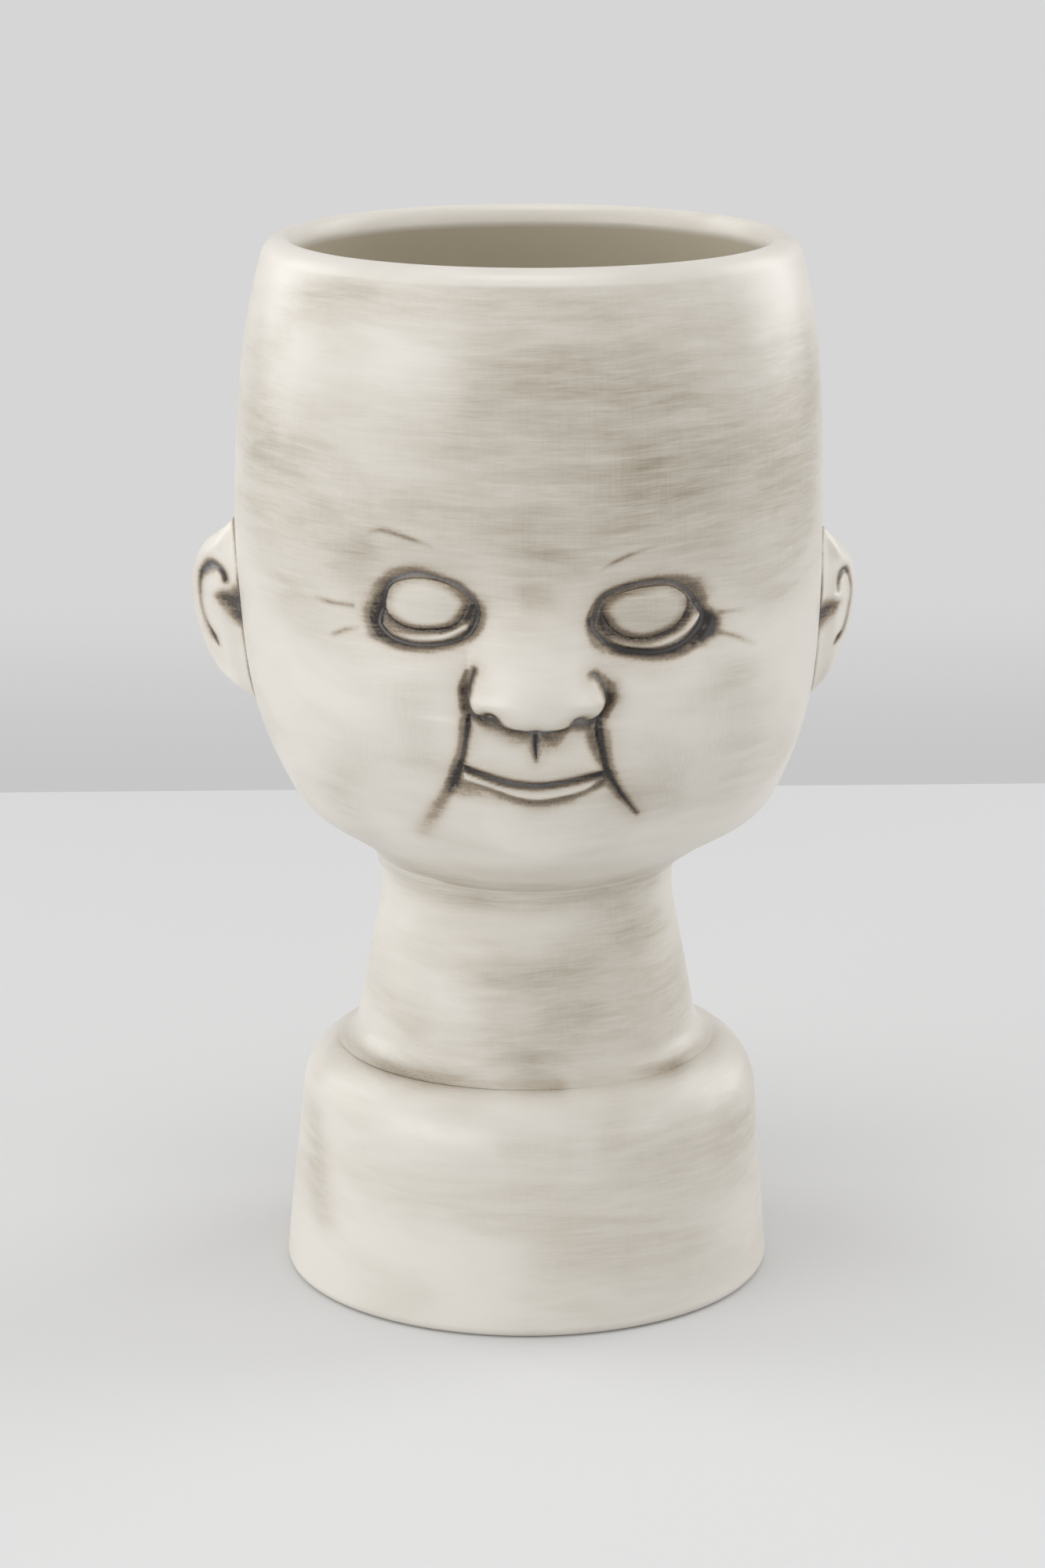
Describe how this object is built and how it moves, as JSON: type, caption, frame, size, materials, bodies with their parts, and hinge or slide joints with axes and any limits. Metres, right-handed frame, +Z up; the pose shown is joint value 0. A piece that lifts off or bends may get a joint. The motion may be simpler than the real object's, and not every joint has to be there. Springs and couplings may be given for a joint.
{
  "type": "face vase",
  "caption": "Ceramic vase shaped as a doll's head with blank eyes, open at the crown, on a tapered neck and a round hollow plinth; stands free and holds stems.",
  "frame": {"origin": "middle of the plinth's foot, on the surface that the vase stands on", "axes": "+Z up, the face looks along -Y, the doll's own left side is +X"},
  "size_m": [0.1782, 0.173, 0.2817],
  "materials": {
    "antiqued_ceramic": "satin off-white glaze with a rubbed brown wash"
  },
  "bodies": {
    "root": {"plinth": "antiqued_ceramic", "neck": "antiqued_ceramic", "head_vessel": "antiqued_ceramic", "left_ear": "antiqued_ceramic", "right_ear": "antiqued_ceramic", "left_eye": "antiqued_ceramic", "right_eye": "antiqued_ceramic"}
  },
  "joints": []
}
